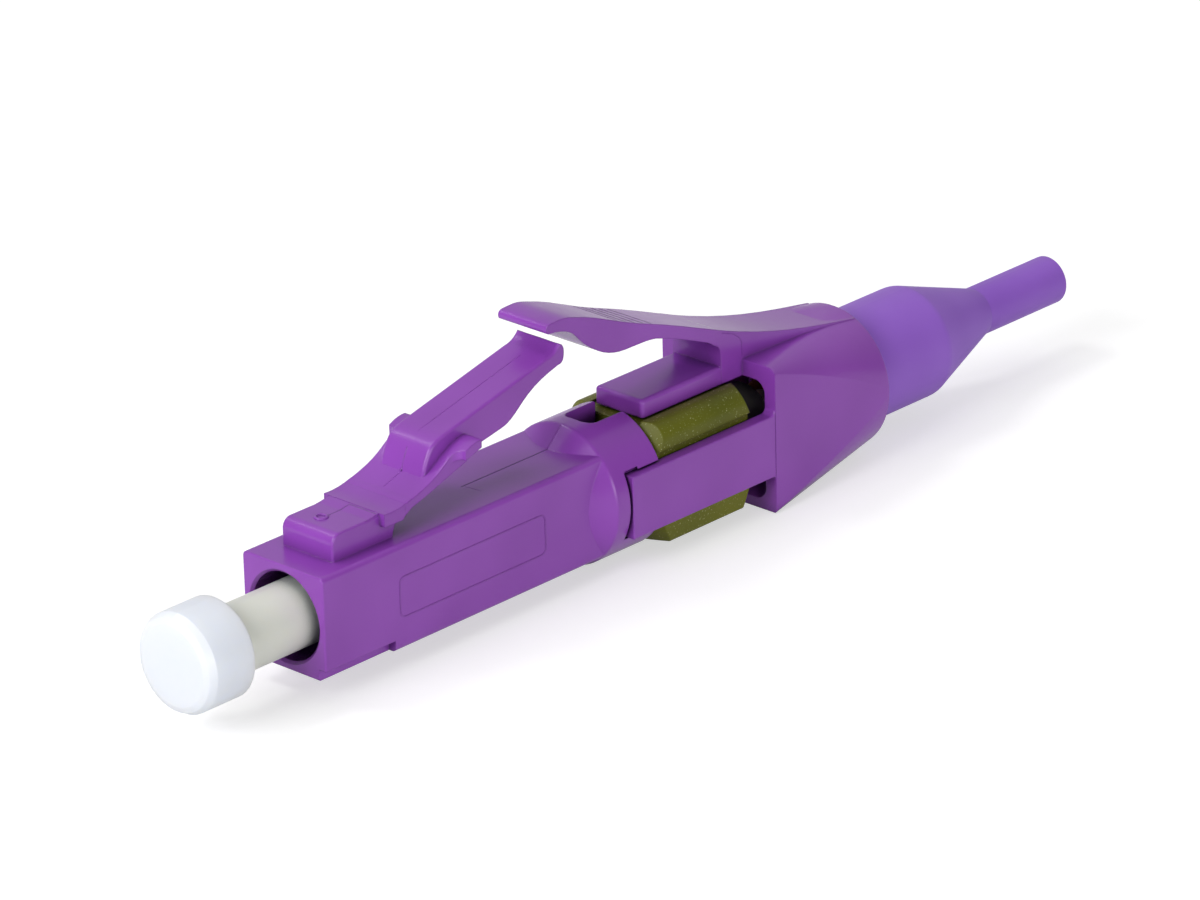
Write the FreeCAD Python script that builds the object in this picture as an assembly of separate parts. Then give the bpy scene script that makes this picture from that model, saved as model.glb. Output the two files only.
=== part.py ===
import FreeCAD, Part
import math
import os

V = FreeCAD.Vector

# driving dimensions in mm: x runs toward the mating end, z up, x = 0 on the plug's front face
PLUG_HALF = 2.25
PLUG_REAR = -15.12
PLUG_EDGE = 0.22
PLUG_FRONT_EDGE = 0.07
FRONT_BORE_R = 1.88
WEB_FRONT = -4.60
WEB_REAR = -5.40
WEB_HOLE_R = 1.14
CAVITY_R = 1.85
REBATE_REAR = -3.90
REBATE_DEPTH = 0.40
REBATE_TOP = -1.75
COLLAR_R = 3.10
COLLAR_FRONT = -16.00
COLLAR_REAR = -18.85
COLLAR_EDGE = 0.15
COLLAR_BORE_R = 2.20
COLLAR_BORE_FRONT = -15.95
NOTCH_FRONT = -16.70
NOTCH_HALF = 0.80
NOTCH_CORNER = 0.60
NOTCH_FLOOR = 1.00
RECESS_GAP = 0.17
POCKET_REAR = -17.55

# latch
ROOT_FRONT = -1.42
ROOT_HALF = 1.42
ROOT_TOP = 3.40
ROOT_NOSE = 0.45
ROOT_EDGE = 0.09
STRIP_FRONT = -4.07
STRIP_HALF = 1.70
LATCH_HALF = 1.20
LATCH_EDGE = 0.12
LUG_FRONT = -8.28
LUG_HALF = 2.15
LATCH_PIVOT = (-5.45, 3.43)
LATCH_SLOPE = 15.0
LATCH_KNUCKLE_R = 0.19

# rear housing
BLOCK_FRONT = -25.50
BLOCK_REAR = -32.70
BLOCK_HALF = 3.18
BLOCK_TOP = 3.34
BLOCK_BOTTOM = -3.18
BLOCK_REAR_R = 3.18
BLOCK_CORNER = 0.45
BLOCK_TRIM = 0.12
BLOCK_WALL = 0.44
BLOCK_REAR_EDGE = 0.08
ARM_FRONT = -16.90
ARM_TOP = 1.26
ARM_BOTTOM = -1.50
ARM_INNER = 2.58
ARM_EDGE = 0.05
ARM_STEP = 0.03
ARM_FLARE = 0.30
ARM_DEPTH = 0.60
HOOK_FRONT = -17.20
HOOK_REAR = -18.05
HOOK_HALF = 0.80
HOOK_INNER = 2.34
BEAM_HALF = 1.34
BEAM_FRONT = -19.40
BEAM_TOP = 3.36
BEAM_BOTTOM = 2.60
BEAM_EDGE = 0.17
MOUTH_CORNER = 0.55
SHELF_FRONT = -29.40
SHELF_R = 1.75
LEVER_HALF = 1.35
LEVER_PIVOT = (-23.75, 4.87)
LEVER_SLOPE = 159.0
LEVER_KNUCKLE_R = 0.29

# floating set
FERRULE_R = 0.6245
FERRULE_TIP = 1.60
FERRULE_REAR = -5.20
FIBRE_R = 0.0625
FIBRE_REAR = -17.60
HUB_R = 1.00
HUB_FRONT = -3.40
FLANGE_R = 1.75
FLANGE_FLAT = 1.50
FLANGE_REAR = -6.60
STEM_R = 1.42
STEM_REAR = -27.20
FUNNEL_R = 0.16
SPLICE_R = 1.00
SPLICE_FRONT = -12.40
SPLICE_REAR = -23.40
KEEL_FRONT = -18.60
KEEL_REAR = -23.10
KEEL_HALF = 0.28
KEEL_BOTTOM = -1.62
CAM_HALF = 2.50
CAM_CORNER = 0.60
CAM_BAR_STEP = 0.12
CAM_BAR_WIDTH = 1.07
CAM_TOP_BAR_ROUND = 0.85
CAM_LOW_BAR_ROUND = 0.10
CAM_REAR = -24.52
CAM_NOSE_FRONT = -17.20
CAM_NOSE_R = 2.10
CAM_TRACK_HALF = 0.55
LEAD_R = 0.72
LEAD_BORE_R = 0.35
LEAD_REAR = -38.40
CRIMP_R = 1.15
CRIMP_FRONT = -28.20
CRIMP_REAR = -37.20

# spring and its seat
SPRING_WIRE_R = 0.14
SPRING_R = 1.64
SPRING_TURNS = 7.5
SPRING_SIDES = 8
SEAT_FRONT = -14.20
SEAT_REAR = -16.55

# boot and dust cap
BOOT_R = 2.52
BOOT_FRONT = -30.30
BOOT_SHOULDER = -37.45
BOOT_SHOULDER_ROUND = 0.80
TAIL_R = 1.08
TAIL_FRONT = -41.85
TAIL_REAR = -46.85
TAIL_BORE_R = 0.60
TAIL_BORE_FRONT = -40.60
CAP_R = 2.14
CAP_REAR = 3.60
CAP_FRONT = 6.10
CAP_FACE_R = 1.72
CAP_STEM_R = 1.44
CAP_STEM_REAR = -3.00
CAP_STEM_MOUTH_R = 0.95
CAP_GRIP_R = 0.66

# clearances and small edge breaks
RUN = 0.02
SLIP = 0.05
LOOSE = 0.10
BREAK = 0.08

# beyond every piece, for cutting tools
FAR = 12.0


def rod(radius, x_rear, x_front):
    return Part.makeCylinder(radius, x_front - x_rear, V(x_rear, 0, 0), V(1, 0, 0))


def turned(points):
    loop = [V(x, 0, r) for x, r in points]
    face = Part.Face(Part.makePolygon(loop + loop[:1]))
    return face.revolve(V(0, 0, 0), V(1, 0, 0), 360)


def box(x0, x1, y0, y1, z0, z1):
    return Part.makeBox(x1 - x0, y1 - y0, z1 - z0, V(x0, y0, z0))


def chain_edges(chains, y):
    edges = []
    for chain in chains:
        points = [V(x, y, z) for x, z in chain]
        if len(points) == 2:
            edges.append(Part.makeLine(points[0], points[1]))
        else:
            curve = Part.BSplineCurve()
            curve.interpolate(points)
            edges.append(curve.toShape())
    return edges


# a side profile of lines and smooth curves, pulled to the same width on both sides
def side_form(chains, half):
    wire = Part.Wire(chain_edges(chains, -half))
    return Part.Face(wire).extrude(V(0, 2 * half, 0))


def side_plate(points, y0, y1):
    loop = [V(x, y0, z) for x, z in points]
    face = Part.Face(Part.makePolygon(loop + loop[:1]))
    return face.extrude(V(0, y1 - y0, 0))


def plan_plate(points, z0, z1):
    loop = [V(x, y, z0) for x, y in points]
    face = Part.Face(Part.makePolygon(loop + loop[:1]))
    return face.extrude(V(0, 0, z1 - z0))


def mirror_y(shape):
    return shape.mirror(V(0, 0, 0), V(0, 1, 0))


def soften(shape, radius, pick):
    edges = [edge for edge in shape.Edges if pick(edge)]
    return shape.makeFillet(radius, edges)


def ends(edge):
    return [vertex.Point for vertex in edge.Vertexes]


def near(a, b):
    return abs(a - b) < 1e-4


def at_x(edge, x):
    return all(near(p.x, x) for p in ends(edge))


def at_y(edge, y):
    return all(near(p.y, y) for p in ends(edge))


def at_z(edge, z):
    return all(near(p.z, z) for p in ends(edge))


def runs_along_x(edge):
    return at_y(edge, ends(edge)[-1].y) and at_z(edge, ends(edge)[-1].z)


def is_upright(edge):
    return at_x(edge, ends(edge)[-1].x) and at_y(edge, ends(edge)[-1].y)


def ring_at(edge, x, radius):
    if not hasattr(edge.Curve, "Radius"):
        return False
    return near(edge.Curve.Radius, radius) and at_x(edge, x)


# everything beyond a plane through the point, the slope is the way it looks
def beyond(point, slope):
    angle = math.radians(slope)
    tx = -math.cos(angle)
    tz = math.sin(angle)
    corners = []
    for along, across in ((0, FAR), (0, -FAR), (3 * FAR, -FAR), (3 * FAR, FAR)):
        x = point[0] + tx * along + tz * across
        z = point[1] + tz * along - tx * across
        corners.append((x, z))
    return side_plate(corners, -FAR, FAR)


def knuckle(point, radius, half):
    start = V(point[0], -half, point[1])
    return Part.makeCylinder(radius, 2 * half, start, V(0, 1, 0))


# rounded rectangle across the axis, eight edges so that two of them can be joined by a loft
def rounded_section(x, half, z_low, z_high, radius):
    c = radius * (1 - math.sqrt(0.5))
    r = radius
    a = half
    corners = [
        ((a, z_high - r), (a - c, z_high - c), (a - r, z_high)),
        ((-a + r, z_high), (-a + c, z_high - c), (-a, z_high - r)),
        ((-a, z_low + r), (-a + c, z_low + c), (-a + r, z_low)),
        ((a - r, z_low), (a - c, z_low + c), (a, z_low + r)),
    ]
    edges = []
    for index, corner in enumerate(corners):
        p = [V(x, y, z) for y, z in corner]
        edges.append(Part.Arc(p[0], p[1], p[2]).toShape())
        y, z = corners[(index + 1) % 4][0]
        edges.append(Part.makeLine(p[2], V(x, y, z)))
    return Part.Wire(edges)


# thin strip that springs the latch and rises behind into the two catch shoulders
def latch_strip_form():
    side = side_form([
        [(STRIP_FRONT, 2.95), (STRIP_FRONT, ROOT_TOP + LOOSE)],
        [(STRIP_FRONT, ROOT_TOP + LOOSE), (-4.90, 3.52), (-5.75, 3.71), (-6.80, 4.08), (-7.32, 4.38),
         (-7.75, 4.68), (-8.20, 4.94), (-8.68, 5.14), (-9.20, 5.20)],
        [(-9.20, 5.20), (-9.20, 4.86)],
        [(-9.20, 4.86), (-8.78, 4.28)],
        [(-8.78, 4.28), (-7.48, 3.88), (-6.06, 3.43), (-5.45, 3.235), (-5.10, 2.95)],
        [(-5.10, 2.95), (STRIP_FRONT, 2.95)],
    ], LUG_HALF)
    side = side.common(strip_plan())
    under = side_plate([(-7.40, 4.30), (-9.70, 5.02), (-9.70, 3.00), (-7.40, 3.00)], STRIP_HALF, FAR)
    return side.cut([under, mirror_y(under)])


# seen from above: the strip, then a hollow curve out to the shoulders
def strip_plan():
    strip = box(-FAR, STRIP_FRONT, -STRIP_HALF, STRIP_HALF, 0, FAR)
    shoulders = box(-FAR, LUG_FRONT, -LUG_HALF, LUG_HALF, 0, FAR)
    plan = strip.fuse(shoulders)
    hollow = 0.9 * (LUG_HALF - STRIP_HALF)
    return soften(plan, hollow, lambda e: is_upright(e) and at_x(e, LUG_FRONT) and is_strip_side(e))


def is_strip_side(edge):
    return at_y(edge, STRIP_HALF) or at_y(edge, -STRIP_HALF)


def latch_root():
    block = side_form([
        [(ROOT_FRONT, PLUG_HALF - 0.2), (ROOT_FRONT, ROOT_TOP)],
        [(ROOT_FRONT, ROOT_TOP), (-4.60, ROOT_TOP)],
        [(-4.60, ROOT_TOP), (-5.28, ROOT_TOP - 0.2)],
        [(-5.28, ROOT_TOP - 0.2), (-4.97, 2.85), (-4.80, 2.50), (-4.75, PLUG_HALF)],
        [(-4.75, PLUG_HALF), (-4.75, PLUG_HALF - 0.2)],
        [(-4.75, PLUG_HALF - 0.2), (ROOT_FRONT, PLUG_HALF - 0.2)],
    ], ROOT_HALF)
    block = soften(block, ROOT_NOSE, lambda e: at_x(e, ROOT_FRONT) and at_z(e, ROOT_TOP))
    block = soften(block, ROOT_EDGE, is_root_outline)
    root = block.fuse(latch_strip_form())
    root = root.cut(beyond(LATCH_PIVOT, LATCH_SLOPE))
    return root.cut(knuckle(LATCH_PIVOT, LATCH_KNUCKLE_R + RUN, FAR))


def is_root_outline(edge):
    on_side = at_y(edge, ROOT_HALF) or at_y(edge, -ROOT_HALF)
    in_front = all(p.x > -4.61 for p in ends(edge))
    return on_side and in_front and not at_z(edge, PLUG_HALF - 0.2) and not at_x(edge, -4.75)


# flexing latch: thin strip, stepped thick arm, two shoulders that catch the adapter
def latch_arm():
    strip = latch_strip_form().common(beyond(LATCH_PIVOT, LATCH_SLOPE))
    arm = side_form([
        [(-6.75, 3.78), (-6.75, 4.02)],
        [(-6.75, 4.02), (-6.85, 4.34), (-7.05, 4.80), (-7.31, 5.19), (-7.68, 5.41), (-8.20, 5.56)],
        [(-8.20, 5.56), (-14.05, 6.92)],
        [(-14.05, 6.92), (-14.48, 7.07), (-14.76, 7.33)],
        [(-14.76, 7.33), (-14.99, 7.13), (-15.02, 6.82), (-14.92, 6.52), (-14.70, 6.44)],
        [(-14.70, 6.44), (-13.89, 6.20), (-13.23, 5.92), (-12.56, 5.49), (-11.95, 5.02), (-11.30, 4.75)],
        [(-11.30, 4.75), (-8.60, 4.24)],
        [(-8.60, 4.24), (-6.75, 3.78)],
    ], LATCH_HALF)
    arm = soften(arm, LATCH_EDGE, is_latch_top)
    hinge = knuckle(LATCH_PIVOT, LATCH_KNUCKLE_R, STRIP_HALF)
    return strip.fuse([hinge, arm]).removeSplitter()


# the long upper edges of the thick arm, which lie above the line from its foot to its tip
def is_latch_top(edge):
    middle = edge.valueAt((edge.FirstParameter + edge.LastParameter) / 2)
    line = 3.90 + (-6.75 - middle.x) * 0.37
    on_side = at_y(edge, LATCH_HALF) or at_y(edge, -LATCH_HALF)
    return on_side and middle.z > line and middle.x < -6.76


# square plug with the latch root in front and the round collar behind
def plug_shell():
    body = box(COLLAR_FRONT, 0, -PLUG_HALF, PLUG_HALF, -PLUG_HALF, PLUG_HALF)
    body = soften(body, PLUG_EDGE, runs_along_x)
    body = soften(body, PLUG_FRONT_EDGE, lambda e: at_x(e, 0))
    shell = body.fuse([collar(), latch_root()])
    shell = shell.cut(plug_bores())
    rebate = box(REBATE_REAR, FAR, -FAR, -PLUG_HALF + REBATE_DEPTH, -FAR, REBATE_TOP)
    shell = shell.cut([rebate, mirror_y(rebate)])
    shell = shell.cut(arm_recesses())
    return shell.cut(collar_notch()).removeSplitter()


# cone out of the square's faces, then the round collar
def collar():
    form = turned([
        (PLUG_REAR, 0), (PLUG_REAR, PLUG_HALF), (COLLAR_FRONT, COLLAR_R),
        (COLLAR_REAR + BREAK, COLLAR_R), (COLLAR_REAR, COLLAR_R - BREAK), (COLLAR_REAR, 0)])
    return soften(form, COLLAR_EDGE, lambda e: ring_at(e, COLLAR_FRONT, COLLAR_R))


def plug_bores():
    lead = 0.12
    mouth = turned([(FAR, 0), (FAR, FRONT_BORE_R + lead), (0, FRONT_BORE_R + lead),
                    (-lead, FRONT_BORE_R), (WEB_FRONT, FRONT_BORE_R), (WEB_FRONT, 0)])
    hole = rod(WEB_HOLE_R, WEB_REAR - BREAK, WEB_FRONT + BREAK)
    cavity = turned([(WEB_REAR, 0), (WEB_REAR, CAVITY_R), (COLLAR_BORE_FRONT, CAVITY_R),
                     (COLLAR_BORE_FRONT, COLLAR_BORE_R), (COLLAR_REAR + lead, COLLAR_BORE_R),
                     (COLLAR_REAR, COLLAR_BORE_R + lead), (-3 * FAR, COLLAR_BORE_R + lead), (-3 * FAR, 0)])
    return mouth.fuse([hole, cavity])


# side slots for the housing's arms, deeper over their front ends, with a window for each hook
def arm_recesses():
    low = ARM_BOTTOM - SLIP
    front = ARM_FRONT + RECESS_GAP
    slot = box(-3 * FAR, front, ARM_INNER - SLIP, FAR, low, ARM_TOP + LOOSE)
    pocket = box(POCKET_REAR, front, ARM_INNER - SLIP, FAR, low, ARM_TOP + 2 * LOOSE)
    pocket = soften(pocket, LOOSE, lambda e: at_x(e, front) and at_z(e, ARM_TOP + 2 * LOOSE))
    window = box(HOOK_REAR - LOOSE, HOOK_FRONT + SLIP, CAVITY_R, FAR, -HOOK_HALF - SLIP, HOOK_HALF + SLIP)
    recess = slot.common(box(-3 * FAR, POCKET_REAR, 0, FAR, -FAR, FAR)).fuse([pocket, window])
    return recess.fuse(mirror_y(recess))


# key slot in the top of the collar, open to the rear, round at its front corners
def collar_notch():
    slot = box(-3 * FAR, NOTCH_FRONT, -NOTCH_HALF, NOTCH_HALF, NOTCH_FLOOR, FAR)
    return soften(slot, NOTCH_CORNER, lambda e: at_x(e, NOTCH_FRONT) and is_upright(e))


# square in front and round behind, trimmed to truly flat sides and a flat underside
def block_form():
    front = rounded_section(BLOCK_FRONT, BLOCK_HALF + BLOCK_TRIM, BLOCK_BOTTOM - BLOCK_TRIM,
                            BLOCK_TOP, BLOCK_CORNER + BLOCK_TRIM)
    rear = rounded_section(BLOCK_REAR, BLOCK_REAR_R, -BLOCK_REAR_R, BLOCK_REAR_R, BLOCK_REAR_R - RUN)
    form = Part.makeLoft([front, rear], True, True)
    form = soften(form, BLOCK_REAR_EDGE, lambda e: at_x(e, BLOCK_REAR))
    return form.common(box(BLOCK_REAR, BLOCK_FRONT, -BLOCK_HALF, BLOCK_HALF, BLOCK_BOTTOM, BLOCK_TOP))


# one side arm: thin plate with hollow corners where it grows out of the block, hook inside
def side_arm():
    root = BLOCK_FRONT - ARM_DEPTH
    outer = BLOCK_HALF - ARM_STEP
    plan = plan_plate([
        (ARM_FRONT, ARM_INNER), (ARM_FRONT, COLLAR_R), (BLOCK_FRONT, outer), (root, outer),
        (root, ARM_INNER)], ARM_BOTTOM - ARM_FLARE, ARM_TOP + ARM_FLARE)
    side = side_plate([
        (ARM_FRONT, ARM_BOTTOM), (ARM_FRONT, ARM_TOP), (BLOCK_FRONT, ARM_TOP),
        (BLOCK_FRONT, ARM_TOP + ARM_FLARE), (root, ARM_TOP + ARM_FLARE),
        (root, ARM_BOTTOM - ARM_FLARE), (BLOCK_FRONT, ARM_BOTTOM - ARM_FLARE),
        (BLOCK_FRONT, ARM_BOTTOM)], 0, FAR)
    side = soften(side, 0.9 * ARM_FLARE, lambda e: at_x(e, BLOCK_FRONT) and at_z(e, ARM_TOP))
    side = soften(side, 0.4 * ARM_FLARE, lambda e: at_x(e, BLOCK_FRONT) and at_z(e, ARM_BOTTOM))
    arm = soften(plan.common(side), ARM_EDGE, is_arm_outline)
    return arm.fuse(arm_hook())


# the edges around the arm's outer face, up to the block
def is_arm_outline(edge):
    points = ends(edge)
    outside = all(p.y > COLLAR_R - RUN for p in points)
    return outside and all(p.x > BLOCK_FRONT + SLIP for p in points)


def arm_hook():
    overlap = ARM_INNER + SLIP
    ramp = plan_plate([
        (HOOK_FRONT, overlap), (HOOK_REAR, HOOK_INNER + RUN), (HOOK_REAR, overlap)], -HOOK_HALF, HOOK_HALF)
    step = box(HOOK_REAR, HOOK_REAR + 0.25, HOOK_INNER, overlap, -HOOK_HALF, HOOK_HALF)
    return ramp.fuse(step)


# trigger lever and the ridge it grows from, as one moulded outline
def lever_form():
    return side_form([
        [(-32.60, 2.60), (-32.60, 2.95)],
        [(-32.60, 2.95), (-31.20, 3.18), (-29.00, 3.60), (-26.80, 4.15), (-24.50, 4.90),
         (-21.00, 6.25), (-18.50, 7.15), (-16.90, 7.82), (-15.60, 8.26)],
        [(-15.60, 8.26), (-14.95, 8.42), (-14.30, 8.42), (-13.92, 8.30), (-13.90, 8.12), (-14.12, 8.00)],
        [(-14.12, 8.00), (-14.90, 7.86), (-15.30, 7.68), (-16.00, 7.02), (-16.55, 6.60),
         (-17.10, 6.27), (-18.00, 5.99), (-18.90, 5.94), (-20.30, 5.86)],
        [(-20.30, 5.86), (-21.20, 5.58), (-22.50, 5.08), (-23.60, 4.62)],
        [(-23.60, 4.62), (-23.95, 4.42), (-24.16, 4.10), (-24.20, 3.80)],
        [(-24.20, 3.80), (-24.20, 2.60)],
        [(-24.20, 2.60), (-32.60, 2.60)],
    ], LEVER_HALF)


def lever_front():
    return beyond(LEVER_PIVOT, LEVER_SLOPE)


def trigger_lever():
    lever = lever_form().common(lever_front())
    return lever.fuse(knuckle(LEVER_PIVOT, LEVER_KNUCKLE_R, LEVER_HALF)).removeSplitter()


def lever_root():
    root = lever_form().cut(lever_front())
    return root.cut(knuckle(LEVER_PIVOT, LEVER_KNUCKLE_R + RUN, FAR))


def top_beam():
    beam = box(BLOCK_FRONT - ARM_DEPTH, BEAM_FRONT, -BEAM_HALF, BEAM_HALF, BEAM_BOTTOM, BEAM_TOP)
    return soften(beam, BEAM_EDGE, is_beam_edge)


# the long upper edges, the front upper edge and the two upright front edges
def is_beam_edge(edge):
    on_top = at_z(edge, BEAM_TOP) and not at_x(edge, BLOCK_FRONT - ARM_DEPTH)
    return on_top or (is_upright(edge) and at_x(edge, BEAM_FRONT))


# rear housing: hollow block, two side arms with hooks, top beam and the lever's root
def rear_housing():
    arm = side_arm()
    body = block_form().fuse([arm, mirror_y(arm), top_beam(), lever_root()])
    return body.cut(housing_hollow()).removeSplitter()


def housing_hollow():
    mouth_front = rounded_section(BLOCK_FRONT + RUN, ARM_INNER, BLOCK_BOTTOM + BLOCK_WALL,
                                  BEAM_BOTTOM, MOUTH_CORNER)
    reach = SHELF_R + 0.15
    mouth_rear = rounded_section(SHELF_FRONT, reach, -reach, reach, reach - RUN)
    mouth = Part.makeLoft([mouth_front, mouth_rear], True, True)
    throat = rod(SHELF_R, BOOT_FRONT - LOOSE, SHELF_FRONT + LOOSE)
    lead = 0.18
    socket = turned([
        (BOOT_FRONT, 0), (BOOT_FRONT, BOOT_R + RUN), (BLOCK_REAR + lead, BOOT_R + RUN),
        (BLOCK_REAR, BOOT_R + lead), (-4 * FAR, BOOT_R + lead), (-4 * FAR, 0)])
    return mouth.fuse([throat, socket])


def ferrule():
    body = turned([
        (FERRULE_REAR, 0), (FERRULE_REAR, FERRULE_R - BREAK), (FERRULE_REAR + BREAK, FERRULE_R),
        (FERRULE_TIP - 0.45, FERRULE_R), (FERRULE_TIP - 0.05, 0.45), (FERRULE_TIP, 0.22), (FERRULE_TIP, 0)])
    return body.cut(rod(FIBRE_R + 0.001, -FAR, FAR))


def fibre_stub():
    return rod(FIBRE_R, FIBRE_REAR, FERRULE_TIP)


# holder: hub for the ferrule, flange with two flats, long stem with the splice chamber
def ferrule_holder():
    body = turned([
        (HUB_FRONT, 0), (HUB_FRONT, HUB_R - BREAK), (HUB_FRONT - BREAK, HUB_R), (WEB_REAR - RUN, HUB_R),
        (WEB_REAR - RUN, FLANGE_R), (FLANGE_REAR, FLANGE_R), (FLANGE_REAR, STEM_R),
        (STEM_REAR + 2 * BREAK, STEM_R), (STEM_REAR, STEM_R - 2 * BREAK), (STEM_REAR, 0)])
    flat = box(FLANGE_REAR, WEB_REAR, FLANGE_FLAT, FAR, -FAR, FAR)
    body = body.cut([flat, mirror_y(flat)])
    body = body.cut(rod(FERRULE_R + 0.001, FERRULE_REAR - RUN, FAR))
    body = body.cut(rod(FUNNEL_R, SPLICE_FRONT, FERRULE_REAR))
    body = body.cut(rod(SPLICE_R + RUN, SPLICE_REAR - RUN, SPLICE_FRONT + RUN))
    slot = box(KEEL_REAR - LOOSE, KEEL_FRONT + LOOSE, -KEEL_HALF - SLIP, KEEL_HALF + SLIP, -FAR, 0)
    body = body.cut(slot)
    return body.cut(rod(LEAD_R + RUN, -3 * FAR, SPLICE_REAR))


def splice_half_upper():
    half = rod(SPLICE_R, SPLICE_REAR, SPLICE_FRONT)
    return half.common(box(SPLICE_REAR, SPLICE_FRONT, -FAR, FAR, FIBRE_R, FAR))


# lower splice half: a V groove for the two fibres along the top, the keel below
def splice_half_lower():
    top = FIBRE_R - RUN / 2
    half = rod(SPLICE_R, SPLICE_REAR, SPLICE_FRONT)
    half = half.common(box(SPLICE_REAR, SPLICE_FRONT, -FAR, FAR, -FAR, top))
    keel = box(KEEL_REAR, KEEL_FRONT, -KEEL_HALF, KEEL_HALF, KEEL_BOTTOM, -SPLICE_R / 2)
    depth = 1.6 * FIBRE_R
    corners = [V(-FAR, -depth - top, top), V(-FAR, 0, -depth), V(-FAR, depth + top, top)]
    groove = Part.Face(Part.makePolygon(corners + corners[:1])).extrude(V(-FAR, 0, 0))
    return half.fuse(keel).cut(groove)


# cam: sleeve around the holder with four corner bars that ride in the housing's windows
def cam():
    front = COLLAR_REAR - SLIP
    section = rounded_section(CAM_REAR, CAM_HALF, -CAM_HALF, CAM_HALF, CAM_CORNER)
    core = Part.Face(section).extrude(V(front - CAM_REAR, 0, 0))
    top_bar = corner_bar(1, CAM_TOP_BAR_ROUND)
    low_bar = corner_bar(-1, CAM_LOW_BAR_ROUND)
    body = core.fuse([top_bar, mirror_y(top_bar), low_bar, mirror_y(low_bar)])
    body = body.common(cam_envelope(front)).fuse(cam_nose(front))
    channel = box(-3 * FAR, front + RUN, -BEAM_HALF - LOOSE, BEAM_HALF + LOOSE, BEAM_BOTTOM - LOOSE, FAR)
    body = body.cut(channel)
    body = body.cut(rod(STEM_R + RUN, -3 * FAR, 0))
    track = box(-3 * FAR, 0, -CAM_TRACK_HALF, CAM_TRACK_HALF, KEEL_BOTTOM - SLIP, 0)
    return body.cut(track).removeSplitter()


# the bars are turned down to a cone in front and a short chamfer behind
def cam_envelope(front):
    nose = turned([(-3 * FAR, 0), (-3 * FAR, FAR), (front - 7.25, FAR), (front - 0.75, 3.75),
                   (front, 2.80), (front, 0)])
    tail = turned([(CAM_REAR, 0), (CAM_REAR, 3.05), (CAM_REAR + 0.9, 4.2), (0, 4.2), (0, 0)])
    return nose.common(tail)


def cam_nose(front):
    lead = 0.2
    return turned([
        (front - 0.5, 0), (front - 0.5, CAM_NOSE_R), (CAM_NOSE_FRONT - lead, CAM_NOSE_R),
        (CAM_NOSE_FRONT, CAM_NOSE_R - lead), (CAM_NOSE_FRONT, 0)])


# a bar along one corner of the cam, side 1 above and -1 below
def corner_bar(side, radius):
    outer = CAM_HALF + CAM_BAR_STEP
    inner = outer - CAM_BAR_WIDTH
    low, high = sorted((side * inner, side * outer))
    bar = box(CAM_REAR, COLLAR_REAR - SLIP, inner, outer, low, high)
    return soften(bar, radius, lambda e: at_y(e, outer) and at_z(e, side * outer))


def spring():
    length = FLANGE_REAR - SEAT_FRONT - 2 * SPRING_WIRE_R - 2 * RUN
    path = Part.makeHelix(length / SPRING_TURNS, length, SPRING_R)
    corners = []
    for index in range(SPRING_SIDES + 1):
        angle = 2 * math.pi * index / SPRING_SIDES
        radius = SPRING_R + SPRING_WIRE_R * math.cos(angle)
        corners.append(V(radius, 0, SPRING_WIRE_R * math.sin(angle)))
    coil = Part.Wire(path.Edges).makePipeShell([Part.makePolygon(corners)], True, True)
    coil.rotate(V(0, 0, 0), V(0, 1, 0), 90)
    coil.translate(V(SEAT_FRONT + RUN + SPRING_WIRE_R, 0, 0))
    return coil


# ring pressed into the collar: sleeve in front for the spring, flange behind
def spring_seat():
    inner = STEM_R + SLIP + RUN
    return turned([
        (SEAT_FRONT, inner), (SEAT_FRONT, CAVITY_R - RUN), (COLLAR_BORE_FRONT, CAVITY_R - RUN),
        (COLLAR_BORE_FRONT, COLLAR_BORE_R - RUN), (SEAT_REAR, COLLAR_BORE_R - RUN), (SEAT_REAR, inner)])


def lead_in_tube():
    front = SPLICE_REAR - SLIP
    return turned([
        (front, LEAD_BORE_R), (front, LEAD_R), (LEAD_REAR, LEAD_R),
        (LEAD_REAR, LEAD_R - BREAK), (LEAD_REAR + 0.6, LEAD_BORE_R)])


def crimp_tube():
    return turned([
        (CRIMP_FRONT, LEAD_R + RUN), (CRIMP_FRONT, CRIMP_R - BREAK), (CRIMP_FRONT - BREAK, CRIMP_R),
        (CRIMP_REAR + BREAK, CRIMP_R), (CRIMP_REAR, CRIMP_R - BREAK), (CRIMP_REAR, LEAD_R + RUN)])


# soft boot: barrel held in the housing, cone, thin tail with the fibre's entry
def boot():
    outer = turned([
        (BOOT_FRONT, 0), (BOOT_FRONT, BOOT_R), (BOOT_SHOULDER, BOOT_R), (TAIL_FRONT, TAIL_R),
        (TAIL_REAR, TAIL_R), (TAIL_REAR, 0)])
    outer = soften(outer, BOOT_SHOULDER_ROUND, lambda e: ring_at(e, BOOT_SHOULDER, BOOT_R))
    hollow = turned([
        (0, 0), (0, SHELF_R), (CRIMP_REAR - 0.2, SHELF_R), (TAIL_BORE_FRONT, TAIL_BORE_R),
        (-5 * FAR, TAIL_BORE_R), (-5 * FAR, 0)])
    return outer.cut(hollow)


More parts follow.
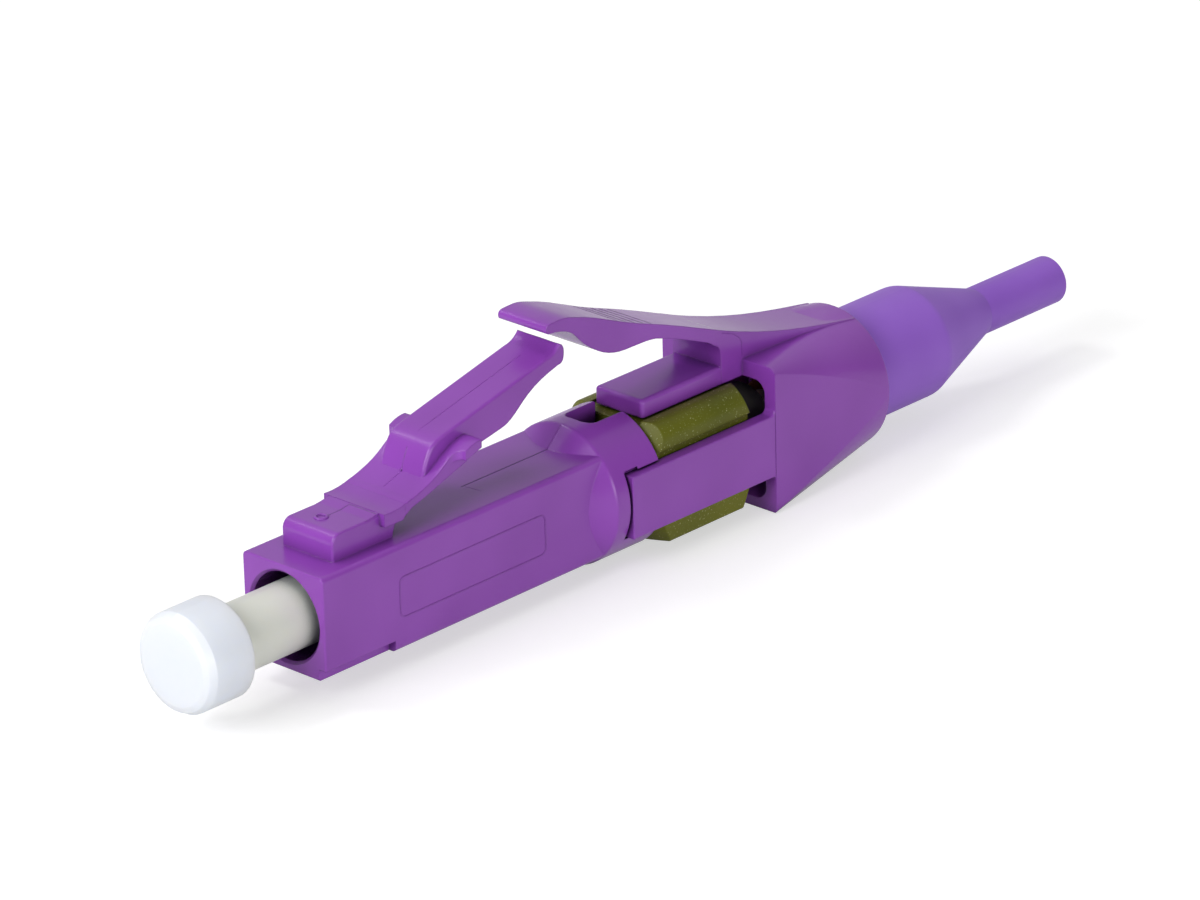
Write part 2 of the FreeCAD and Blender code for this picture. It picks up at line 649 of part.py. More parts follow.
# dust cap: round head and a hollow stem that grips the ferrule
def dust_cap():
    body = turned([
        (CAP_STEM_REAR, 0), (CAP_STEM_REAR, CAP_STEM_R - BREAK), (CAP_STEM_REAR + BREAK, CAP_STEM_R),
        (CAP_REAR, CAP_STEM_R), (CAP_REAR, CAP_R - BREAK), (CAP_REAR + BREAK, CAP_R),
        (CAP_FRONT - 0.42, CAP_R), (CAP_FRONT - 0.12, CAP_R - 0.16), (CAP_FRONT, CAP_FACE_R), (CAP_FRONT, 0)])
    hollow = turned([
        (-FAR, 0), (-FAR, CAP_STEM_MOUTH_R), (CAP_STEM_REAR, CAP_STEM_MOUTH_R),
        (CAP_STEM_REAR + 0.3, CAP_GRIP_R), (FERRULE_TIP + 0.9, CAP_GRIP_R), (FERRULE_TIP + 1.3, 0)])
    return body.cut(hollow)


PARTS = {
    "dust_cap": dust_cap,
    "plug_shell": plug_shell,
    "latch_arm": latch_arm,
    "rear_housing": rear_housing,
    "trigger_lever": trigger_lever,
    "cam": cam,
    "ferrule": ferrule,
    "fibre_stub": fibre_stub,
    "ferrule_holder": ferrule_holder,
    "splice_half_upper": splice_half_upper,
    "splice_half_lower": splice_half_lower,
    "spring": spring,
    "spring_seat": spring_seat,
    "lead_in_tube": lead_in_tube,
    "crimp_tube": crimp_tube,
    "boot": boot,
}

os.makedirs("parts", exist_ok=True)
for name, make in PARTS.items():
    shape = make()
    print(name, shape.isValid(), len(shape.Solids), round(shape.Volume, 3))
    shape.exportStep("parts/" + name + ".step")
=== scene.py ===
import math

import bpy
from mathutils import Matrix, Vector
from mathutils.bvhtree import BVHTree

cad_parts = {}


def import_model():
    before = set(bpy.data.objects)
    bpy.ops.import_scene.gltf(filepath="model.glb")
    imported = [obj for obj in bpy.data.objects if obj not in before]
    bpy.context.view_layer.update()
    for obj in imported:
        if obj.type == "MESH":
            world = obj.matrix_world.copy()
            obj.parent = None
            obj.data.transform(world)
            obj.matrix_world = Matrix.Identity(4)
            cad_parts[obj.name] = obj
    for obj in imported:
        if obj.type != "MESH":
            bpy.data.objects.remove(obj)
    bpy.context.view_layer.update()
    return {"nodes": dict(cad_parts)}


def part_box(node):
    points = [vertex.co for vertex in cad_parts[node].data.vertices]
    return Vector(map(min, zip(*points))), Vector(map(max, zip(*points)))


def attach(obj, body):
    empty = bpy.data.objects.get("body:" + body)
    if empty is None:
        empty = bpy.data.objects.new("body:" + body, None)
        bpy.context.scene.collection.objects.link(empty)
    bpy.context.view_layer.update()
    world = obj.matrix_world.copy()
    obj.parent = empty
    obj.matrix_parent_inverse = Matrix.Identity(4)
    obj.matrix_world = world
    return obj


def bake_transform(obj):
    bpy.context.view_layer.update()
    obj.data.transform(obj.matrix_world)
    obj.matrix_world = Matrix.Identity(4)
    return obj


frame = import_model()

MM = 0.001

# camera, fitted to the plug's square
CAMERA_PLACE = Vector((0.17452, 0.18506, 0.11479))
CAMERA_LOOK = Vector((-0.6639, -0.6374, -0.3912))
CAMERA_ROLL = math.radians(1.5)
CAMERA_LENS = 211.86
CAMERA_SENSOR = 36.0
CAMERA_NEAR = 0.01
CAMERA_FAR = 10

# light: the world brightens toward the backdrop, and three softboxes look at the middle
WORLD_LOW = 0.16
WORLD_HIGH = 0.60
BACKDROP_WAY = (-0.69, -0.66, 0.30)
BACKDROP_START = 0.1
BACKDROP_FULL = 0.8
LIGHTS_AIM = (-0.020, 0, 0)
KEY_PLACE = (0.08, -0.20, 0.34)
KEY_SIZE = (0.10, 0.10)
KEY_POWER = 0.32
FRONT_PLACE = (0.32, -0.01, 0.20)
FRONT_SIZE = (0.26, 0.20)
FRONT_POWER = 1.15
SIDE_PLACE = (0.08, 0.42, 0.06)
SIDE_SIZE = (0.34, 0.22)
SIDE_POWER = 1.02
FLOOR_GLOW = 0.55
FLOOR_TONE = "#D0D0D0"
FLOOR_MIRRORED = 0.6

# stage
FLOOR_GAP = 0.02 * MM
FLOOR_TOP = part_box("rear_housing")[0].z - FLOOR_GAP
FLOOR_SIZE = 1.6

# finishes; every _SHADE tone is painted shade, mixed in where the ambient occlusion finds the bore, slots
# and hollows
VIOLET = "#8F46B2"
VIOLET_DEEP = "#8840AA"
VIOLET_SHADE = "#1E1030"
VIOLET_LINE_SHADE = "#43185C"
BOOT_VIOLET = "#9460CC"
BOOT_VIOLET_DEEP = "#8C58C4"
BOOT_SHADE = "#4A2A78"
OLIVE = "#6A6C04"
OLIVE_DARK = "#565A06"
OLIVE_SHADE = "#2A2C08"
GLASS_END_GLINT = "#C4C48C"
CAP_HEAD = "#E6EAF3"
CAP_STEM = "#DCDED4"
CAP_SHADE = "#9AA09C"
ZIRCONIA = "#EDEAE2"
SILICA = "#DCE6EA"
HOLDER_GREY = "#6C6C68"
HOLDER_DEEP = "#62625E"
HOLDER_SHADE = "#0C0C0A"
SPLICE_CLEAR = "#D5DAD6"
STEEL = "#C9CACB"
TUBE_NATURAL = "#E4E1D4"
BRASS = "#C9A24E"
SMOOTH_BELOW_NODE = 32
SMOOTH_BELOW_PIECE = 40
EDGE_ROUND = 0.08 * MM
HOLLOW_DEPTH = 1.2 * MM
HOLLOW_SHUT = 0.15
HOLLOW_OPEN = 0.62
CLOUD_WIDE = 4.0 * MM
CLOUD_DEEP = 0.35
CLOUD_LIGHT = 0.65
DRAWN_WAY = (0.35, 1, 1)
SPECK_WIDE = 0.07 * MM
SPECK_START = 0.66
SPECK_FULL = 0.78
SPECK_MOST = 0.7
CAP_STEM_END = 3.2 * MM
CAP_HEAD_START = 3.8 * MM

# a ray for the top surface starts here, above all
ABOVE = 20 * MM

# flexing roots: where each one bends, how far its skin reaches, how wide it is, and a height in
# the gap below it
LATCH_PIVOT_X = -5.45 * MM
LATCH_REACH = 0.16 * MM
STRIP_HALF = 1.70 * MM
LATCH_GAP_Z = 2.6 * MM
TRIGGER_PIVOT_X = -23.75 * MM
TRIGGER_REACH = 0.30 * MM
LEVER_HALF = 1.35 * MM
TRIGGER_GAP_Z = 3.5 * MM
SKIN = 0.004 * MM
SKIN_TUCK = 0.013 * MM
SKIN_STEPS = 4

# fairing on the latch root
FAIRING_FRONT = -3.30 * MM
FAIRING_REAR = -4.14 * MM
FAIRING_HALF = 1.38 * MM
FAIRING_SUNK = 0.1 * MM
FAIRING_TUCK = 0.006 * MM
FAIRING_STEPS = 6

# mould marks
LINE_R = 0.03 * MM
FINE_LINE_R = 0.018 * MM
LINE_SUNK = 0.55
PLUG_LINE_X = (-10.1 * MM, -15.1 * MM)
CONE_LINE_X = (-15.15 * MM, -15.90 * MM, -16.00 * MM, -16.06 * MM, -16.12 * MM)
SCRATCH_PATH = ((-10.24 * MM, 0.10 * MM), (-10.32 * MM, 0.90 * MM))
INSERT_X = (-2.80 * MM, -3.40 * MM, -3.60 * MM, -3.80 * MM, -3.98 * MM)
INSERT_Y = -0.17 * MM
INSERT_WIDE = 1.50 * MM
STRIP_LINE_X = (-5.75 * MM, -7.15 * MM)
ARM_LINE_X = (-7.80 * MM, -13.70 * MM)
ARM_LINE_STEPS = 12
ARCH_PATH = ((-24.30 * MM, 4.85 * MM), (-24.65 * MM, 4.74 * MM), (-25.00 * MM, 4.60 * MM),
             (-25.34 * MM, 4.34 * MM), (-25.46 * MM, 4.12 * MM), (-25.49 * MM, 3.50 * MM))
ARCH_SUNK = 0.4
RIB_FIRST_X = -18.15 * MM
RIB_STEP = 0.50 * MM
RIB_COUNT = 5
RIB_R = 0.03 * MM
RIB_SUNK = 0.6
RIB_REACH = 0.9
RIB_SIDES = 10
GATE_X = -2.48 * MM
GATE_Y = -0.25 * MM
GATE_R = 0.24 * MM
GATE_RING = 0.3
PLUG_HALF = 2.25 * MM
PANEL_FRONT = -4.20 * MM
PANEL_REAR = -12.60 * MM
PANEL_TOP = 0.90 * MM
PANEL_BOTTOM = -0.90 * MM
PANEL_CORNER = 0.30 * MM
PANEL_CORNER_STEPS = 6
PANEL_LINE = 0.06 * MM
PANEL_PROUD = 0.012 * MM


def deselect_all():
    if bpy.context.mode != "OBJECT":
        bpy.ops.object.mode_set(mode="OBJECT")
    bpy.ops.object.select_all(action="DESELECT")


def activate(obj):
    deselect_all()
    obj.select_set(True)
    bpy.context.view_layer.objects.active = obj


def linear(hex_colour):
    parts = [int(hex_colour[i:i + 2], 16) / 255 for i in (1, 3, 5)]
    return tuple([c / 12.92 if c <= 0.04045 else ((c + 0.055) / 1.055) ** 2.4 for c in parts] + [1.0])


# adds one node, sets its values and links its sockets
def add(tree, kind, values=None, links=None):
    made = tree.nodes.new(kind)
    for key, value in (values or {}).items():
        if isinstance(key, int) or key in made.inputs:
            made.inputs[key].default_value = value
        else:
            setattr(made, key, value)
    for key, source in (links or {}).items():
        tree.links.new(source, made.inputs[key])
    return made


def plain_material(name, values):
    material = bpy.data.materials.new(name)
    material.use_nodes = True
    tree = material.node_tree
    tree.nodes.clear()
    shader = add(tree, "ShaderNodeBsdfPrincipled", values)
    add(tree, "ShaderNodeOutputMaterial", links={"Surface": shader.outputs["BSDF"]})
    return material, tree, shader


# from one colour to another along a value, each given as a pair of place and colour
def ramp(tree, value, stops):
    made = add(tree, "ShaderNodeValToRGB", links={"Fac": value})
    for element, (place, colour) in zip(made.color_ramp.elements, stops):
        element.position = place
        element.color = linear(colour)
    return made.outputs["Color"]


# first colour where the value is 0, second where it is 1
def mixed(tree, value, first, second):
    made = add(tree, "ShaderNodeMix", {"data_type": "RGBA"})
    tree.links.new(value, made.inputs[0])
    for socket, source in ((made.inputs[6], first), (made.inputs[7], second)):
        if isinstance(source, str):
            socket.default_value = linear(source)
        else:
            tree.links.new(source, socket)
    return made.outputs[2]


# how open a place is: 0 down in the bore or a slot, 1 on an outside face; it sets where shade is painted
# into the colour
def openness(tree):
    open_sky = add(tree, "ShaderNodeAmbientOcclusion", {"samples": 4, "Distance": HOLLOW_DEPTH})
    level = add(tree, "ShaderNodeMapRange", {"From Min": HOLLOW_SHUT, "From Max": HOLLOW_OPEN},
                {"Value": open_sky.outputs["AO"]})
    return level.outputs["Result"]


# a moulded plastic: two close tones in soft clouds, painted shade deep in the bore and slots, the fine
# drawn grain of the mould and edges that catch the light
def moulded_plastic(name, tones, grain_mm, grain_depth_mm, values):
    material, tree, shader = plain_material(name, values)
    place = add(tree, "ShaderNodeTexCoord").outputs["Object"]
    clouds = add(tree, "ShaderNodeTexNoise", {"Scale": 1 / CLOUD_WIDE, "Detail": 1.0}, {"Vector": place})
    light, deep, shade = tones
    face = ramp(tree, clouds.outputs["Fac"], ((CLOUD_DEEP, deep), (CLOUD_LIGHT, light)))
    # painted shade: the shade tone takes over from the cloud tones where the place is shut in
    colour = mixed(tree, openness(tree), shade, face)
    drawn = add(tree, "ShaderNodeVectorMath", {"operation": "MULTIPLY", 1: DRAWN_WAY}, {0: place})
    grain = add(tree, "ShaderNodeTexNoise", {"Scale": 1 / (grain_mm * MM), "Detail": 3.0, "Roughness": 0.6},
                {"Vector": drawn.outputs["Vector"]})
    edge = add(tree, "ShaderNodeBevel", {"samples": 4, "Radius": EDGE_ROUND})
    bump = add(tree, "ShaderNodeBump", {"Strength": 0.5, "Distance": grain_depth_mm * MM},
               {"Height": grain.outputs["Fac"], "Normal": edge.outputs["Normal"]})
    tree.links.new(colour, shader.inputs["Base Color"])
    tree.links.new(bump.outputs["Normal"], shader.inputs["Normal"])
    return material


# PBT, injection moulded: satin, so tops mirror the backdrop softly
def housing_material():
    tones = (VIOLET, VIOLET_DEEP, VIOLET_SHADE)
    return moulded_plastic("PBT violet, moulded", tones, 0.16, 0.006, {
        "Roughness": 0.25, "IOR": 1.53, "Specular IOR Level": 0.42})


# the same plastic where two halves of the mould meet, painted darker: painted shade and painted reflection
# of the dark surroundings along the line
def shaded_line_material():
    return plain_material("PBT violet, painted shade line", {
        "Base Color": linear(VIOLET_LINE_SHADE), "Roughness": 0.35, "IOR": 1.53})[0]


# TPE, injection moulded: duller and bluer than the housing
def boot_material():
    tones = (BOOT_VIOLET, BOOT_VIOLET_DEEP, BOOT_SHADE)
    return moulded_plastic("TPE violet, moulded", tones, 0.25, 0.005, {
        "Roughness": 0.50, "IOR": 1.48, "Subsurface Weight": 0.12,
        "Subsurface Radius": (0.0010, 0.0006, 0.0014), "Subsurface Scale": 0.6})


# glass-filled PEI, moulded: the glass ends give it a coarse grain and pale specks, their brightness a
# painted glint
def cam_material():
    tones = (OLIVE, OLIVE_DARK, OLIVE_SHADE)
    material = moulded_plastic("PEI olive, glass-filled, moulded", tones, 0.10, 0.012, {
        "Roughness": 0.45, "IOR": 1.60, "Specular IOR Level": 0.25})
    tree = material.node_tree
    colour = tree.nodes["Principled BSDF"].inputs["Base Color"]
    place = add(tree, "ShaderNodeTexCoord").outputs["Object"]
    ends = add(tree, "ShaderNodeTexNoise", {"Scale": 1 / SPECK_WIDE, "Detail": 1.0}, {"Vector": place})
    amount = add(tree, "ShaderNodeMapRange", {"From Min": SPECK_START, "From Max": SPECK_FULL,
                                              "To Max": SPECK_MOST}, {"Value": ends.outputs["Fac"]})
    # painted glint: pale specks mixed into the colour where the glass ends lie
    speckled = mixed(tree, amount.outputs["Result"], colour.links[0].from_socket, GLASS_END_GLINT)
    tree.links.new(speckled, colour)
    return material


# LDPE, moulded: milky head where it is thick, stem painted greyer for the light that passes through its
# thin wall, painted shade in the bore
def cap_material():
    material, tree, shader = plain_material("LDPE natural white, moulded", {
        "Roughness": 0.34, "IOR": 1.51, "Subsurface Weight": 0.6,
        "Subsurface Radius": (0.0012, 0.0013, 0.0015), "Subsurface Scale": 1.2})
    place = add(tree, "ShaderNodeTexCoord").outputs["Object"]
    split = add(tree, "ShaderNodeSeparateXYZ", links={"Vector": place})
    along = add(tree, "ShaderNodeMapRange", {"From Min": CAP_STEM_END, "From Max": CAP_HEAD_START},
                {"Value": split.outputs["X"]})
    face = ramp(tree, along.outputs["Result"], ((0.0, CAP_STEM), (1.0, CAP_HEAD)))
    # painted shade: the stem darkens where it goes into the bore
    colour = mixed(tree, openness(tree), CAP_SHADE, face)
    edge = add(tree, "ShaderNodeBevel", {"samples": 4, "Radius": EDGE_ROUND})
    tree.links.new(colour, shader.inputs["Base Color"])
    tree.links.new(edge.outputs["Normal"], shader.inputs["Normal"])
    return material


# what the housing hides: the ferrule and its holder, the splice, the spring and the tubes
def inner_materials():
    looks = {
        "ferrule": ("zirconia, ground", ZIRCONIA, {"Roughness": 0.12, "IOR": 2.1}),
        "fibre_stub": ("silica fibre, drawn", SILICA, {"Roughness": 0.05, "IOR": 1.46}),
        "splice_half_upper": ("polycarbonate clear, moulded", SPLICE_CLEAR,
                              {"Roughness": 0.20, "IOR": 1.58}),
        "spring": ("spring steel, drawn", STEEL, {"Roughness": 0.28, "Metallic": 1.0}),
        "lead_in_tube": ("PBT natural, extruded", TUBE_NATURAL, {"Roughness": 0.38, "IOR": 1.53}),
        "crimp_tube": ("brass, drawn", BRASS, {"Roughness": 0.30, "Metallic": 1.0}),
    }
    made = {}
    for node, (name, colour, values) in looks.items():
        made[node] = plain_material(name, {"Base Color": linear(colour), **values})[0]
    # painted shade: the holder and its seat get a dark grey that goes near black in hollows, so they read
    # as the dark recess behind the cam
    tones = (HOLDER_GREY, HOLDER_DEEP, HOLDER_SHADE)
    made["ferrule_holder"] = moulded_plastic("PEI grey, moulded", tones, 0.20, 0.004, {
        "Roughness": 0.45, "IOR": 1.60})
    made["spring_seat"] = made["ferrule_holder"]
    made["splice_half_lower"] = made["splice_half_upper"]
    return made


def dress(obj, material, smooth_below):
    obj.data.materials.clear()
    obj.data.materials.append(material)
    activate(obj)
    bpy.ops.object.shade_smooth_by_angle(angle=math.radians(smooth_below))


# a piece of the violet mouldings that the solids don't hold
def add_piece(obj, material, body):
    dress(obj, material, SMOOTH_BELOW_PIECE)
    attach(obj, body)


def dress_nodes(violet):
    looks = {"plug_shell": violet, "latch_arm": violet, "rear_housing": violet, "trigger_lever": violet,
             "boot": boot_material(), "cam": cam_material(), "dust_cap": cap_material(),
             **inner_materials()}
    for node, material in looks.items():
        dress(frame["nodes"][node], material, SMOOTH_BELOW_NODE)


# surfaces at rest, for setting small pieces on them
def trees_of(*objects):
    depsgraph = bpy.context.evaluated_depsgraph_get()
    return [BVHTree.FromObject(obj, depsgraph) for obj in objects]


def nodes_named(*names):
    return [frame["nodes"][name] for name in names]


# where an upright ray first meets each surface; way is 1 for up and -1 for down
def heights(trees, x, y, start_z, way):
    found = [tree.ray_cast(Vector((x, y, start_z)), Vector((0, 0, way)))[0] for tree in trees]
    return [point.z for point in found if point is not None]


def top_height(trees, x, y=0):
    return max(heights(trees, x, y, ABOVE, -1))


def underside_height(trees, x, gap_z):
    return min(heights(trees, x, 0, gap_z, 1))


# a small flat face, turned to look along the first step, then pulled from point to point
def pulled(name, points, radius, sides=6):
    deselect_all()
    turn = (points[1] - points[0]).to_track_quat("Z", "Y").to_euler()
    bpy.ops.mesh.primitive_circle_add(vertices=sides, radius=radius, fill_type="NGON",
                                      location=points[0], rotation=turn)
    obj = bpy.context.active_object
    obj.name = name
    bpy.ops.object.transform_apply(location=True, rotation=True, scale=True)
    bpy.ops.object.mode_set(mode="EDIT")
    bpy.ops.mesh.select_all(action="SELECT")
    for before, after in zip(points, points[1:]):
        bpy.ops.mesh.extrude_region_move(TRANSFORM_OT_translate={"value": after - before})
    bpy.ops.mesh.select_all(action="SELECT")
    bpy.ops.mesh.normals_make_consistent(inside=False)
    bpy.ops.object.mode_set(mode="OBJECT")
    return obj


# a flat section pulled from station to station; a station is x, half width, lowest and highest z
def lofted(name, stations):
    x, wide, low, high = stations[0]
    deselect_all()
    bpy.ops.mesh.primitive_plane_add(size=2, rotation=(0, math.pi / 2, 0))
    obj = bpy.context.active_object
    obj.name = name
    bpy.ops.object.transform_apply(location=True, rotation=True, scale=True)
    obj.scale = (1, wide, (high - low) / 2)
    obj.location = (x, 0, (low + high) / 2)
    bpy.ops.object.transform_apply(location=True, rotation=True, scale=True)
    bpy.ops.object.mode_set(mode="EDIT")
    bpy.ops.mesh.select_all(action="SELECT")
    for before, after in zip(stations, stations[1:]):
        middle = (after[2] + after[3]) / 2
        rise = middle - (before[2] + before[3]) / 2
        step = (after[0] - before[0], 0, rise)
        bpy.ops.mesh.extrude_region_move(TRANSFORM_OT_translate={"value": step})
        grow = (1, after[1] / before[1], (after[3] - after[2]) / (before[3] - before[2]))
        bpy.ops.transform.resize(value=grow, center_override=(after[0], 0, middle))
    bpy.ops.mesh.select_all(action="SELECT")
    bpy.ops.mesh.normals_make_consistent(inside=False)
    bpy.ops.object.mode_set(mode="OBJECT")
    return obj


# thin skin over a flexing root, a hair outside the solids and dipping into them at both ends
def flex_skin(name, nodes, pivot_x, reach, half, gap_z, material):
    trees = trees_of(*nodes_named(*nodes))
    ends = (pivot_x + reach, pivot_x - reach)
    end_low = [underside_height(trees, x, gap_z) for x in ends]
    end_high = [top_height(trees, x) for x in ends]
    stations = []
    for index in range(-1, SKIN_STEPS + 2):
        share = index / SKIN_STEPS
        x = ends[0] + (ends[1] - ends[0]) * share
        low = end_low[0] + (end_low[1] - end_low[0]) * share
        high = end_high[0] + (end_high[1] - end_high[0]) * share
        if 0 <= index <= SKIN_STEPS:
            proud = SKIN
            low = min(low, underside_height(trees, x, gap_z))
            high = max(high, top_height(trees, x))
        else:
            proud = -SKIN_TUCK
            high = min(high, top_height(trees, x))
        stations.append((x, half + proud, low - proud, high + proud))
    obj = lofted(name, stations)
    dress(obj, material, SMOOTH_BELOW_PIECE)
    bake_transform(obj)


# the root's top rises softly to the latch strip instead of ending at its ledge
def root_fairing(violet):
    trees = trees_of(*nodes_named("plug_shell"))
    low = top_height(trees, FAIRING_FRONT)
    high = top_height(trees, FAIRING_REAR)
    stations = []
    for index in range(FAIRING_STEPS + 1):
        along = index / FAIRING_STEPS
        x = FAIRING_FRONT + (FAIRING_REAR - FAIRING_FRONT) * along
        rise = (high - low) * (1 - math.cos(math.pi * along)) / 2
        stations.append((x, FAIRING_HALF, low - FAIRING_SUNK, low - FAIRING_TUCK + rise))
    obj = lofted("root_fairing", stations)
    add_piece(obj, violet, "housing")
    return obj


def flex_skins(violet):
    flex_skin("latch_root_skin", ("plug_shell", "latch_arm"), LATCH_PIVOT_X, LATCH_REACH, STRIP_HALF,
              LATCH_GAP_Z, violet)
    flex_skin("trigger_root_skin", ("rear_housing", "trigger_lever"), TRIGGER_PIVOT_X, TRIGGER_REACH,
              LEVER_HALF, TRIGGER_GAP_Z, violet)


# fine ribs across the trigger's thumb rest, in the violet painted darker as shade
def grip_ribs(dark):
    trees = trees_of(*nodes_named("trigger_lever"))
    for index in range(RIB_COUNT):
        x = RIB_FIRST_X - index * RIB_STEP
        z = top_height(trees, x) - RIB_R * RIB_SUNK
        ends = [Vector((x, side * RIB_REACH * LEVER_HALF, z)) for side in (-1, 1)]
        rib = pulled(f"grip_rib_{index + 1}", ends, RIB_R, RIB_SIDES)
        add_piece(rib, dark, "trigger")


# a line that follows the surface below it, as a thin rod sunk to a little over half
def surface_line(name, objects, path, radius, material, body):
    trees = trees_of(*objects)
    points = [Vector((x, y, top_height(trees, x, y) - radius * LINE_SUNK)) for x, y in path]
    line = pulled(name, points, radius)
    add_piece(line, material, body)


# where the mould's halves met along the plug's top (that line painted darker as shade), and a scratch
# beside it
def plug_lines(violet, dark):
    plug = nodes_named("plug_shell")
    along_top = [(x, 0) for x in PLUG_LINE_X]
    along_cone = [(x, 0) for x in CONE_LINE_X]
    surface_line("parting_line_plug", plug, along_top, LINE_R, dark, "housing")
    surface_line("parting_line_cone", plug, along_cone, LINE_R, violet, "housing")
    surface_line("scratch_plug_top", plug, SCRATCH_PATH, FINE_LINE_R, violet, "housing")


# outline of the mould's insert on the latch root, painted darker as shade
def insert_lines(dark, fairing):
    root = nodes_named("plug_shell") + [fairing]
    along = [(x, INSERT_Y) for x in INSERT_X]
    across = [(INSERT_X[-1], INSERT_Y), (INSERT_X[-1], INSERT_Y + INSERT_WIDE)]
    surface_line("insert_line_along", root, along, FINE_LINE_R, dark, "housing")
    surface_line("insert_line_across", root, across, FINE_LINE_R, dark, "housing")


# where the mould's halves met along the latch, in short steps over its curves
def latch_lines(violet):
    latch = nodes_named("latch_arm")
    for name, (front, rear) in (("strip", STRIP_LINE_X), ("arm", ARM_LINE_X)):
        step = (rear - front) / ARM_LINE_STEPS
        path = [(front + step * index, 0) for index in range(ARM_LINE_STEPS + 1)]
        surface_line(f"parting_line_{name}", latch, path, LINE_R, violet, "latch")


# arch left on both sides of the trigger's buttress by the mould's side core
def arch_lines(violet):
    for name, side in (("near", 1), ("far", -1)):
        y = side * (LEVER_HALF - LINE_R * ARCH_SUNK)
        points = [Vector((x, y, z)) for x, z in ARCH_PATH]
        arch = pulled(f"arch_line_{name}", points, LINE_R)
        add_piece(arch, violet, "housing")


# witness of the moulding gate on the latch root: a small raised ring
def gate_mark(violet):
    z = top_height(trees_of(*nodes_named("plug_shell")), GATE_X, GATE_Y)
    deselect_all()
    bpy.ops.mesh.primitive_torus_add(major_radius=GATE_R, minor_radius=GATE_R * GATE_RING,
                                     major_segments=28, minor_segments=10, location=(GATE_X, GATE_Y, z))
    ring = bpy.context.active_object
    ring.name = "gate_mark"
    bpy.ops.object.transform_apply(location=True, rotation=True, scale=True)
    add_piece(ring, violet, "housing")


# faint raised outline of the bare panel on the plug's near side
def panel_outline(violet):
    deselect_all()
    bpy.ops.mesh.primitive_plane_add(size=1, rotation=(-math.pi / 2, 0, 0))
    obj = bpy.context.active_object
    obj.name = "panel_outline"
    bpy.ops.object.transform_apply(location=True, rotation=True, scale=True)
    obj.scale = (PANEL_FRONT - PANEL_REAR, 1, PANEL_TOP - PANEL_BOTTOM)
    middle_x = (PANEL_FRONT + PANEL_REAR) / 2
    middle_z = (PANEL_TOP + PANEL_BOTTOM) / 2
    obj.location = (middle_x, PLUG_HALF + PANEL_PROUD, middle_z)
    bpy.ops.object.transform_apply(location=True, rotation=True, scale=True)
    bpy.ops.object.mode_set(mode="EDIT")
    bpy.ops.mesh.select_all(action="SELECT")
    bpy.ops.mesh.bevel(offset=PANEL_CORNER, segments=PANEL_CORNER_STEPS, affect="VERTICES")
    bpy.ops.mesh.inset(thickness=PANEL_LINE)
    bpy.ops.mesh.delete(type="FACE")
    bpy.ops.mesh.select_all(action="SELECT")
    bpy.ops.mesh.extrude_region_move(TRANSFORM_OT_translate={"value": (0, -2 * PANEL_PROUD, 0)})
    bpy.ops.mesh.select_all(action="SELECT")
    bpy.ops.mesh.normals_make_consistent(inside=False)
    bpy.ops.object.mode_set(mode="OBJECT")
    add_piece(obj, violet, "housing")


def camera():
    data = bpy.data.cameras.new("camera")
    data.lens = CAMERA_LENS
    data.sensor_width = CAMERA_SENSOR
    data.sensor_fit = "HORIZONTAL"
    data.clip_start = CAMERA_NEAR
    data.clip_end = CAMERA_FAR
    obj = bpy.data.objects.new("camera", data)
    bpy.context.scene.collection.objects.link(obj)
    look = CAMERA_LOOK.normalized()
    right = look.cross(Vector((0, 0, 1))).normalized()
    up = right.cross(look)
    turn = Matrix.Rotation(CAMERA_ROLL, 3, look)
    basis = Matrix((turn @ right, turn @ up, -look)).transposed().to_4x4()
    obj.matrix_world = Matrix.Translation(CAMERA_PLACE) @ basis
    bpy.context.scene.camera = obj


def softbox(name, place, size, power):
    data = bpy.data.lights.new(name, "AREA")
    data.shape = "RECTANGLE"
    data.size = size[0]
    data.size_y = size[1]
    data.energy = power
    obj = bpy.data.objects.new(name, data)
    bpy.context.scene.collection.objects.link(obj)
    aim = (Vector(LIGHTS_AIM) - Vector(place)).to_track_quat("-Z", "Y")
    obj.matrix_world = Matrix.Translation(Vector(place)) @ aim.to_matrix().to_4x4()


def lights():
    softbox("key softbox", KEY_PLACE, KEY_SIZE, KEY_POWER)
    softbox("front softbox", FRONT_PLACE, FRONT_SIZE, FRONT_POWER)
    softbox("side softbox", SIDE_PLACE, SIDE_SIZE, SIDE_POWER)


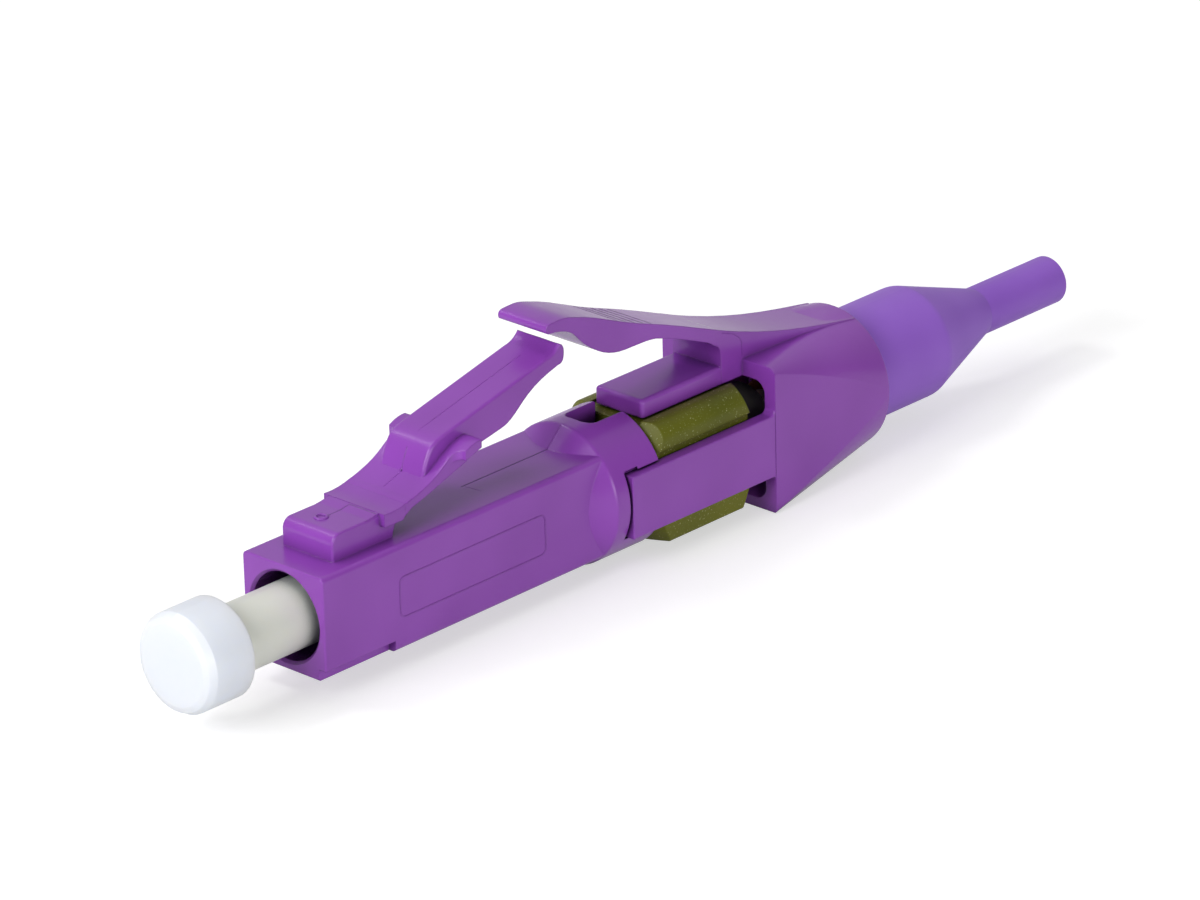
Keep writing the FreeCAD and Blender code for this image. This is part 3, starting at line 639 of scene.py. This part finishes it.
# world: bright backdrop behind the object, darker studio elsewhere, plain white to the camera
def world():
    made = bpy.data.worlds.new("studio")
    bpy.context.scene.world = made
    made.use_nodes = True
    tree = made.node_tree
    tree.nodes.clear()
    way = add(tree, "ShaderNodeTexCoord").outputs["Generated"]
    behind = add(tree, "ShaderNodeVectorMath", {"operation": "DOT_PRODUCT", 1: BACKDROP_WAY}, {0: way})
    level = add(tree, "ShaderNodeMapRange", {"From Min": BACKDROP_START, "From Max": BACKDROP_FULL,
                                             "To Min": WORLD_LOW, "To Max": WORLD_HIGH},
                {"Value": behind.outputs["Value"]})
    seen = add(tree, "ShaderNodeLightPath").outputs["Is Camera Ray"]
    shown = add(tree, "ShaderNodeMath", {"operation": "MAXIMUM"}, {0: level.outputs["Result"], 1: seen})
    back = add(tree, "ShaderNodeBackground", {"Color": (1, 1, 1, 1)}, {"Strength": shown.outputs["Value"]})
    add(tree, "ShaderNodeOutputWorld", links={"Surface": back.outputs["Background"]})


# paper that shows near white to the camera and in gloss, and takes the object's shadow
def floor():
    deselect_all()
    bpy.ops.mesh.primitive_plane_add(size=FLOOR_SIZE, location=(0, 0, FLOOR_TOP))
    obj = bpy.context.active_object
    obj.name = "floor"
    bpy.ops.object.transform_apply(location=True, rotation=True, scale=True)
    material, tree, shader = plain_material("paper, matt white", {
        "Base Color": linear(FLOOR_TONE), "Roughness": 0.9, "Specular IOR Level": 0.1,
        "Emission Color": (1, 1, 1, 1)})
    ray = add(tree, "ShaderNodeLightPath")
    seen = add(tree, "ShaderNodeMath", {"operation": "MULTIPLY_ADD", 1: FLOOR_MIRRORED},
               {0: ray.outputs["Is Glossy Ray"], 2: ray.outputs["Is Camera Ray"]})
    glow = add(tree, "ShaderNodeMath", {"operation": "MULTIPLY", 0: FLOOR_GLOW}, {1: seen.outputs["Value"]})
    tree.links.new(glow.outputs["Value"], shader.inputs["Emission Strength"])
    obj.data.materials.append(material)


violet_plastic = housing_material()
shaded_violet = shaded_line_material()
dress_nodes(violet_plastic)
flex_skins(violet_plastic)
grip_ribs(shaded_violet)
latch_root_fairing = root_fairing(violet_plastic)
plug_lines(violet_plastic, shaded_violet)
insert_lines(shaded_violet, latch_root_fairing)
latch_lines(violet_plastic)
arch_lines(violet_plastic)
gate_mark(violet_plastic)
panel_outline(violet_plastic)
camera()
lights()
world()
floor()

bpy.context.scene.view_settings.view_transform = "Standard"
